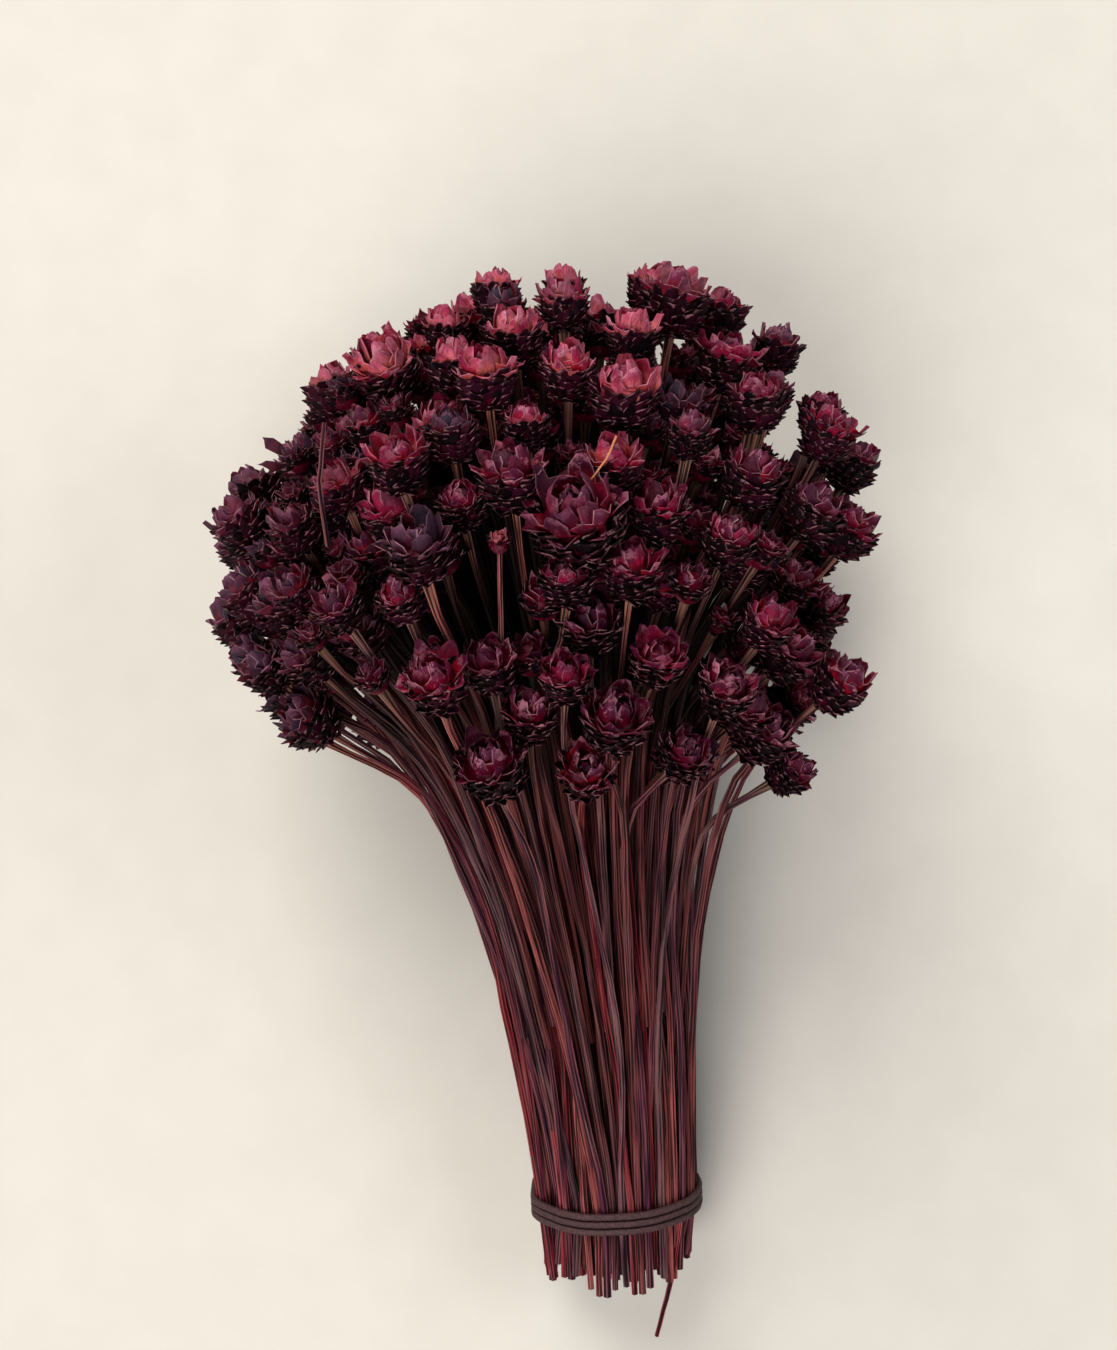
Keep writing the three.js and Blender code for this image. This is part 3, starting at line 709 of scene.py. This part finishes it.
def growHead(flower, ringList):
    bm = newPieceMesh(bladeLayers)
    i = flower.flower
    look = (flower.tone, flower.mauve, flower.vivid)
    size = headLook["scale"] * flower.radius * flower.swell
    stand = (Matrix.Translation(flower.head) @ flower.facing.to_track_quat("Z", "Y").to_matrix().to_4x4()
             @ Matrix.Scale(size, 4))
    sunk = Matrix.Translation((0, 0, headLook["coreHeight"])) @ Matrix.Scale(headLook["coreSize"], 4)
    addCopy(bm, coreMesh, stand @ sunk, headLook["corePart"], headLook["coreTones"])
    for level, ring in enumerate(ringList):
        spin = 2 * pi * draw(i, 50 + level)
        for k in range(ring["count"]):
            dice = [draw(i * 17 + level * 131 + k * 7, 60 + n) for n in range(10)]
            around = spin + 2 * pi * (k + headLook["uneven"] * (dice[0] - 0.5)) / ring["count"]
            lean = opened(ring["lean"], flower.openness)
            tilt = radians(lean + headLook["jitter"] * 2 * (dice[1] - 0.5))
            least, more = headLook["long"]
            long = opened(ring["long"], flower.openness) * (least + more * dice[2])
            least, more = headLook["wide"]
            wide = ring["wide"] * (least + more * dice[3])
            isBract = ring["blade"] != "scale"
            if isBract:  # the youngest heads show little more than a bud
                long *= mix(headLook["young"], 1.0, clamp(flower.openness * headLook["youngUntil"]))
            height = ring["height"] + headLook["unevenHeight"] * (dice[4] - 0.5)
            setBlade = Matrix(((0, sin(tilt), cos(tilt)), (1, 0, 0),
                               (0, cos(tilt), -sin(tilt)))).to_4x4()
            matrix = (stand @ Matrix.Rotation(around, 4, "Z")
                      @ Matrix.Translation((ring["out"], 0, height))
                      @ setBlade @ Matrix.Rotation(headLook["turn"] * (dice[5] - 0.5), 4, "Z")
                      @ Matrix.Rotation(headLook["turn"] * (dice[6] - 0.5), 4, "Y")
                      @ Matrix.Diagonal((wide, long, 0.5 * (wide + long), 1)))
            mesh = bladeMeshes[ring["blade"]][int(dice[7] * bladeLook["variants"])]
            place = 0.55 + 0.04 * level if isBract else 0.05 * level  # the shader tells them apart at 0.55
            addCopy(bm, mesh, matrix, (place, dice[8], dice[9]), look)
    return asMesh(bm, "head")


# Stems: ribbed, a little wavy, and flaring into a paler neck.

stemLayers = ["grain", "stemPart", "stemDetail"]
stemShape = {
    "sides": 12, "rib": 0.20, "least": 0.80, "most": 1.12, "stepsEach": 4, "flare": 1.75, "neckLong": 7.0,
    "wander": 0.35, "wave": 0.09, "waveRate": 0.11, "foot": 1.04, "top": 0.80,
    "thickFrom": 50, "thickOver": 12, "upperLong": 70, "pith": 0.3, "grainAside": 3.1, "grainAlong": 17.0,
}


def smoothPath(path, facing, number):
    ways = []
    for k in range(len(path)):
        way = path[min(k + 1, len(path) - 1)] - path[max(k - 1, 0)]
        ways.append((way if k < len(path) - 1 else facing).normalized())
    points = []
    for k in range(len(path) - 1):
        reach = (path[k + 1] - path[k]).length / 3
        count = stemShape["stepsEach"] + 1
        part = interpolate_bezier(path[k], path[k] + ways[k] * reach,
                                  path[k + 1] - ways[k + 1] * reach, path[k + 1], count)
        points += part if k == 0 else part[1:]
    for k in range(stemShape["stepsEach"], len(points) - 2):
        points[k] += stemShape["wander"] * Vector([draw(number * 3 + k, 90 + n) - 0.5 for n in range(3)])
    return points


def growStem(points, radius, tone, bright, number, neck=True, sides=stemShape["sides"], thick=1.0, end=0.0):
    look = stemShape
    bm = newPieceMesh(stemLayers)
    grain, part, detail = [bm.verts.layers.float_vector[name] for name in stemLayers]
    lengths = [0.0]
    for a, b in zip(points, points[1:]):
        lengths.append(lengths[-1] + (b - a).length)
    total = lengths[-1]
    sideways = Vector((1, 0, 0))
    last = None
    ring = bmesh.ops.create_circle(bm, cap_ends=True, segments=sides, radius=1)["verts"]
    cut = ring[0].link_faces[0]
    for k, v in enumerate(ring):
        v.co *= 1 - look["rib"] * (k % 2)
    for k, point in enumerate(points):
        way = (points[min(k + 1, len(points) - 1)] - points[max(k - 1, 0)]).normalized()
        sideways = (sideways - way * sideways.dot(way)).normalized()
        upward = way.cross(sideways)
        nearHead = clamp(1 - (total - lengths[k]) / look["neckLong"]) if neck else 0.0
        thickened = clamp((lengths[k] - total + look["thickFrom"]) / look["thickOver"])
        size = radius * (1 + (look["flare"] - 1) * nearHead ** 2)
        size *= 1 + look["wave"] * sin(look["waveRate"] * lengths[k] + 40 * tone)
        size *= mix(look["foot"], look["top"], lengths[k] / total) * mix(1, thick, thickened)
        here = (Matrix.Translation(point) @ Matrix((sideways, upward, way)).transposed().to_4x4()
                @ Matrix.Scale(size, 4))
        if last is None:
            bmesh.ops.transform(bm, matrix=here, verts=ring)
        else:
            openEnd = [e for e in bm.edges if e.is_boundary]
            made = bmesh.ops.extrude_edge_only(bm, edges=openEnd)["geom"]
            ring = [g for g in made if isinstance(g, bmesh.types.BMVert)]
            bmesh.ops.transform(bm, matrix=here @ last.inverted(), verts=ring)
        back = here.inverted()
        for v in ring:
            local = back @ v.co
            v[grain] = (local.x * radius * thick + look["grainAside"] * number, local.y * radius * thick,
                        lengths[k] + look["grainAlong"] * number)
            v[part] = (tone, nearHead, bright[k])
            v[detail] = (1 - (1 - local.xy.length) / look["rib"], end,
                         clamp(1 - (total - lengths[k]) / look["upperLong"]))
        last = here
    bmesh.ops.contextual_create(bm, geom=[e for e in bm.edges if e.is_boundary])
    bmesh.ops.inset_individual(bm, faces=[cut], thickness=look["pith"] * radius)
    for v in cut.verts:
        v[detail] = (0.5, max(end, 1.0), 0.0)
    bmesh.ops.recalc_face_normals(bm, faces=bm.faces)
    smoothFaces(bm)
    return asMesh(bm, "stem")


def restOn(height):  # what would go under the surface is pressed flat just above it, in metres
    return height if height > 0.001 else 0.001 * math.exp(1000 * height - 1)


def addObject(name, data):
    thing = bpy.data.objects.new(name, data)
    bpy.context.scene.collection.objects.link(thing)
    return thing


def finishPiece(bm, name, material):
    mesh = asMesh(bm, name)
    mesh.transform(intoRoom)
    for v in mesh.vertices:
        v.co.z = restOn(v.co.z)
    mesh.materials.append(material)
    piece = addObject(name, mesh)
    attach(piece, "root")
    return piece


def join(bm, mesh):
    bm.from_mesh(mesh)
    bpy.data.meshes.remove(mesh)


def inBunch(point):  # u, s and w of a place
    raised = point - Vector((0, 0, bunch["baseHeight"]))
    return raised.x, raised.dot(alongAxis), raised.dot(towardsFace)


# Upper heads are rosy and the lower ones deep wine, partly their own colour and partly painted light from
# above;
# greyer at the left, darker at the right, and darker round the gap as painted shade. A few have aged to a
# dark grey.
headTones = {
    "wineAt": 152.0, "rosyAt": 236.0, "wine": 0.10, "rosier": 0.85, "spread": 0.60,
    "greyFrom": (-35.0, -85.0), "grey": 1.2, "greyFade": 0.45, "greyDarker": 0.25,
    "darkFrom": (18.0, 58.0), "darker": 0.35,
    "deepAt": (-10.0, 184.0), "deepReach": 32.0, "gapShade": 0.28,
    "agedFrom": 0.84, "agedRate": 8, "agedGrey": 0.95, "agedDarker": 0.6, "frontFrom": 20,
    "swell": (0.80, 1.10), "innerShadeTone": 0.7, "innerShade": 0.15, "innerVivid": 0.5,
}
# A few heads in front are larger, and a closed one has several stems grown together under it.
proudHeads = [
    {"u": -7, "s": 198, "swell": 1.42, "openness": 0.75, "tone": 0.28, "mauve": 0.25,
     "facing": (-0.15, 0.72, 0.67)},
    {"u": 6, "s": 216, "swell": 1.20, "openness": 0.20, "tone": 0.90, "facing": (0.10, 0.92, 0.38)},
    {"u": -53, "s": 232, "swell": 1.10, "openness": 0.45, "tone": 0.95, "facing": (-0.30, 0.75, 0.58)},
    {"u": 35, "s": 220, "swell": 0.98, "openness": 0.05, "tone": 0.60, "facing": (0.05, 0.97, 0.22),
     "thick": 2.6},
]


def dress(flower, number):
    tones = headTones
    u, s = inBunch(flower.head)[:2]
    dice = [draw(number, 10 + n) for n in range(4)]
    high = (s - tones["wineAt"]) / (tones["rosyAt"] - tones["wineAt"])
    left = ramp(u, *tones["greyFrom"])
    right = ramp(u, *tones["darkFrom"])
    aged = clamp((dice[1] - tones["agedFrom"]) * tones["agedRate"])
    # Painted shade round the gap in the front.
    deep = bump(math.dist((u, s), tones["deepAt"]), tones["deepReach"])
    flower.tone = clamp(tones["wine"] + tones["rosier"] * high - tones["darker"] * right
                        - tones["greyDarker"] * left + tones["spread"] * (dice[0] - 0.5))
    flower.tone = clamp(flower.tone - tones["agedDarker"] * aged - tones["gapShade"] * deep)
    flower.mauve = clamp(tones["grey"] * left * (1 - tones["greyFade"] * high) + tones["agedGrey"] * aged)
    flower.vivid = dice[2]
    flower.openness = draw(number, 7) ** headLook["openPower"]
    flower.thick = 1.0
    flower.swell = mix(*tones["swell"], dice[3])
    turnHead(flower, flower.facing.lerp(alongAxis, headLook["upright"]))


def turnHead(flower, facing):  # the neck follows
    flower.facing = facing.normalized()
    flower.path[-1] = flower.head - bunch["headMiddle"] * flower.radius * flower.facing


stemShade = {
    # In the bundle, stems towards its middle are darker as painted shade, and each stem is darker by a random
    # share.
    "ring": (0.5, 0.85), "inside": 0.25, "dimmest": 0.65,  # in the bundle
    "alone": (140, 180),  # there each stem comes to show by itself
    "dome": (118, 158), "deepRate": 5.5, "shallow": 0.60, "innerStems": 0.7,
}

for flower in flowers:
    dress(flower, flower.flower)
    outside = mix(stemShade["inside"], 1.0, ramp(flower.ring, *stemShade["ring"]))
    flower.shade = outside * mix(stemShade["dimmest"], 1.0, draw(flower.flower, 17))
inFront = [flower for flower in flowers if inBunch(flower.head)[2] > headTones["frontFrom"]]
for proud in proudHeads:
    fromProud = [math.dist(inBunch(flower.head)[:2], (proud["u"], proud["s"])) for flower in inFront]
    flower = inFront[fromProud.index(min(fromProud))]
    flower.swell, flower.openness, flower.tone = proud["swell"], proud["openness"], proud["tone"]
    flower.thick = proud.get("thick", 1.0)
    flower.mauve = proud.get("mauve", 0.0)
    turnHead(flower, turned(*proud["facing"]))


def underHeads(point):  # stems are darker inside the dome, where little light comes
    u, s, w = inBunch(point)
    side = dome["front"] if w > 0 else dome["back"]
    depth = 1 - hypot((u - dome["u"]) / dome["across"], abs(s - dome["s"]) / dome["along"], w / side)
    return 1 - clamp(depth * stemShade["deepRate"] - stemShade["shallow"]) * ramp(s, *stemShade["dome"])


def stemShades(flower, points):  # dark in the bundle's middle, and inside the dome
    if flower.thick > 1:
        return [1.0] * len(points)
    return [mix(flower.shade, 1, ramp(inBunch(point)[1], *stemShade["alone"])) * underHeads(point)
            for point in points]


for number, spray in enumerate(sprays, 1):
    node = f"spray_{number:02d}"
    heads = newPieceMesh(bladeLayers)
    stems = newPieceMesh(stemLayers)
    for flower in spray:
        join(heads, growHead(flower, rings))
        i = flower.flower
        points = smoothPath(flower.path, flower.facing, i)
        points.append(points[-1] + 0.25 * flower.radius * flower.facing)
        radius = mix(stemShape["least"], stemShape["most"], draw(i, 11))
        shades = stemShades(flower, points)
        join(stems, growStem(points, radius, draw(i, 12), shades, i, thick=flower.thick))
    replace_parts(finishPiece(heads, node + "_heads", bractFinish), node)
    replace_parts(finishPiece(stems, node + "_stems", stemFinish), node)
print("sprays made")

for side, isRight in (("left", False), ("right", True)):
    heads = newPieceMesh(bladeLayers)
    stems = newPieceMesh(stemLayers)
    for flower in innerFlowers:
        if (flower.head.x >= dome["u"]) != isRight:
            continue
        i = flower.flower
        dress(flower, i)
        # Painted shade: heads inside the dome are darker, with less painted glow.
        flower.tone = headTones["innerShadeTone"] * flower.tone - headTones["innerShade"]
        flower.vivid *= headTones["innerVivid"]
        join(heads, growHead(flower, innerRings))
        points = smoothPath(flower.path, flower.facing, i)
        shades = [stemShade["innerStems"] * underHeads(point) for point in points]
        join(stems, growStem(points, stemShape["least"], draw(i, 12), shades, i, sides=8))
    finishPiece(heads, "inner_heads_" + side, bractFinish)
    finishPiece(stems, "inner_stems_" + side, stemFinish)
print("inner flowers made")


# Broken and slipped stems, loose bracts and a straw that lie among the others.

looseStems = [
    {"path": [(-56.5, 193, 49), (-56.8, 207, 53), (-55.3, 219, 51)],  # without a head
     "radius": 0.58, "tone": 0.0, "bright": 0.5},
    {"path": [(5.2, 213.5, 70), (2.9, 209.0, 71.8), (-1.2, 204.0, 70)],  # a straw
     "radius": 0.19, "tone": 0.5, "end": 2.0},
    {"path": [(-22.5, 150, 42), (-20.5, 172, 53), (-19.5, 191, 62)],  # under the bud
     "radius": 0.75, "tone": 0.34},
    {"path": [(17.5, 50, 6.0), (16.0, 22, 9.0), (12.5, 2, 11.5), (8.5, -10, 14.5)],  # slipped out at the foot
     "radius": 0.80, "tone": 0.88},
]
looseBract = {"part": (0.6, 0.2, 0.1), "tones": (0.1, 0.8, 0.1)}
looseBracts = [
    {"at": (-70, 213, 12), "towards": (-0.8, 0.6, 0.1), "long": 6.5, "wide": 3.0},
    {"at": (-71, 210, 14), "towards": (-0.9, 0.1, 0.3), "long": 5.0, "wide": 2.6},
    {"at": (55, 211, 10), "towards": (0.9, 0.4, 0.2), "long": 6.0, "wide": 2.8},
    {"at": (56, 209, 12), "towards": (1.0, -0.1, 0.1), "long": 4.6, "wide": 2.4},
]
stems = newPieceMesh(stemLayers)
for number, loose in enumerate(looseStems, 400):  # no other stem has these numbers
    path = [placed(*point) for point in loose["path"]]
    points = smoothPath(path, path[-1] - path[-2], number)
    shades = [loose.get("bright", 1.0)] * len(points)
    join(stems, growStem(points, loose["radius"], loose["tone"], shades, number, neck=False,
                         end=loose.get("end", 0.0)))
finishPiece(stems, "loose_stems", stemFinish)
bracts = newPieceMesh(bladeLayers)
for k, loose in enumerate(looseBracts):
    facing = turned(*loose["towards"]).to_track_quat("Y", "Z").to_matrix().to_4x4()
    matrix = (Matrix.Translation(placed(*loose["at"])) @ facing
              @ Matrix.Diagonal((loose["wide"], loose["long"], 0.5 * (loose["wide"] + loose["long"]), 1)))
    addCopy(bracts, bladeMeshes["flared"][k], matrix, looseBract["part"], looseBract["tones"])
bud = SimpleNamespace(flower=500, head=placed(-19.4, 193.5, 63), facing=turned(0.05, 0.9, 0.4), radius=2.8,
                      tone=1.5, mauve=0.0, vivid=0.9, openness=0.0, swell=1.0)
join(bracts, growHead(bud, innerRings[2:]))
finishPiece(bracts, "loose_bracts", bractFinish)
print("loose pieces made")


# The tie: a dark cord wound three times and pulled tight.

tie = {
    "stem": 1.0, "turns": 3, "pitch": 1.95, "cord": 0.85, "steps": 72, "sides": 8,
    "dark": (0.018, 0.006, 0.007), "light": (0.075, 0.026, 0.028),
    "roughness": 0.8, "specular": 0.5, "bump": 0.5, "bumpHeight": 0.0003,
}


def tieMaterial():
    material, shader, shade = newMaterial("tie_cord")
    fuzz = noiseAt(shade.add("TexCoord", out=3), 1500.0, 4.0)
    colour = shade.add("ValToRGB", {"stops": [(0.3, tie["dark"]), (0.7, tie["light"])]}, {0: fuzz})
    surface(shader, tie, colour, tie["roughness"], fuzz)
    return material


def girdle():  # the cord's distance from the bundle's middle, by angle, tight over the outermost stems
    waist = []
    for flower in flowers:
        (u, s, w), (uNext, sNext, wNext) = inBunch(flower.path[0]), inBunch(flower.path[1])
        share = (bunch["tieHeight"] - s) / (sNext - s)
        waist.append((mix(u, uNext, share), mix(w, wNext, share)))
    angles = np.linspace(-pi, pi, 2 * tie["steps"], endpoint=False)
    ways = np.stack((np.cos(angles), np.sin(angles)), axis=1)
    support = (np.array(waist) @ ways.T).max(0) + tie["stem"] + tie["cord"]

    def girth(angle):
        return float((support / np.maximum(np.cos(angles - angle), 0.05)).min())

    return girth


def makeTie():
    bm = bmesh.new()
    girth = girdle()
    for turnNumber in range(tie["turns"]):
        along = (turnNumber - (tie["turns"] - 1) / 2) * tie["pitch"]
        section = Matrix.Translation((1, 0, 0)) @ Matrix.Rotation(pi / 2, 4, "X")
        ring = bmesh.ops.create_circle(bm, segments=tie["sides"], radius=tie["cord"], matrix=section)
        edges = list({e for v in ring["verts"] for e in v.link_edges})
        bmesh.ops.spin(bm, geom=ring["verts"] + edges, cent=(0, 0, 0), axis=(0, 0, 1), angle=2 * pi,
                       steps=tie["steps"], use_merge=True)
        for v in [v for v in bm.verts if not v.tag]:
            angle = math.atan2(v.co.y, v.co.x)
            beyond = hypot(v.co.x, v.co.y) - 1
            away = girth(angle) + beyond
            v.co = placed(away * cos(angle), bunch["tieHeight"] + along + v.co.z, away * sin(angle))
            v.tag = True
    bmesh.ops.remove_doubles(bm, verts=bm.verts, dist=0.001)
    bmesh.ops.recalc_face_normals(bm, faces=bm.faces)
    for face in bm.faces:
        face.smooth = True
    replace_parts(finishPiece(bm, "tie_cord", tieMaterial()), "tie_band")


makeTie()
print("tie made")


# Floor, light and camera

room = {
    "floor": (0.582, 0.552, 0.496), "floorGrain": (0.985, 1.015), "roughness": 0.85, "specular": 0.2,
    "cameraAway": 420.0, "cameraDown": radians(8),
    "fieldOfView": radians(43), "roll": radians(2.6), "lookAt": (-8.5, 156.0, 0.0),
    "air": (1.0, 0.97, 0.93), "airLight": 0.035,
    "lights": [  # name, place, size, watts and colour
        ("key", (-0.60, 1.45, 1.28), 1.4, 45.0, (1.0, 0.965, 0.93)),
        ("fill", (-0.60, -0.85, 1.45), 1.4, 31.0, (1.0, 0.975, 0.955)),
        ("side", (1.25, 0.15, 1.00), 1.0, 9.0, (0.90, 0.94, 1.0))],
}


def makeFloor():
    bm = bmesh.new()
    bmesh.ops.create_grid(bm, x_segments=1, y_segments=1, size=3.0)
    mesh = asMesh(bm, "floor")
    material, shader, shade = newMaterial("pale_floor")
    grain = noiseAt(shade.add("TexCoord", out=3), 60.0, 3.0)
    low, high = [tuple(c * f for c in room["floor"]) for f in room["floorGrain"]]
    colour = shade.add("ValToRGB", {"stops": [(0.35, low), (0.65, high)]}, {0: grain})
    wire(shader, {"Base Color": colour, "Roughness": room["roughness"],
                  "Specular IOR Level": room["specular"]})
    mesh.materials.append(material)
    floor = addObject("floor", mesh)


def makeLight(name, place, size, watts, colour):
    data = bpy.data.lights.new(name, "AREA")
    data.shape = "DISK"
    data.size = size
    data.energy = watts
    data.color = colour
    light = addObject(name, data)
    light.location = place
    light.rotation_euler = (middle - Vector(place)).to_track_quat("-Z", "Y").to_euler()


def makeAir():
    world = bpy.data.worlds.new("soft_room")
    world.use_nodes = True
    wire(world.node_tree.nodes["Background"], {"Color": (*room["air"], 1), "Strength": room["airLight"]})
    bpy.context.scene.world = world


def makeCamera():  # above the bunch, a little towards its cut ends
    data = bpy.data.cameras.new("camera")
    data.sensor_fit = "VERTICAL"
    data.angle = room["fieldOfView"]
    data.clip_start = 0.01
    camera = addObject("camera", data)
    away = cos(room["cameraDown"]) * towardsFace + sin(room["cameraDown"]) * alongAxis
    camera.location = middle + 0.001 * room["cameraAway"] * away
    back = (camera.location - middle).normalized()
    right = Matrix.Rotation(-room["roll"], 3, back) @ Vector((0, 1, 0)).cross(back).normalized()
    camera.rotation_euler = Matrix((right, back.cross(right), back)).transposed().to_euler()
    bpy.context.scene.camera = camera


middle = intoRoom @ placed(*room["lookAt"])
makeFloor()
for light in room["lights"]:
    makeLight(*light)
makeAir()
makeCamera()
bpy.context.scene.view_settings.view_transform = "Standard"
print("floor, light and camera set")
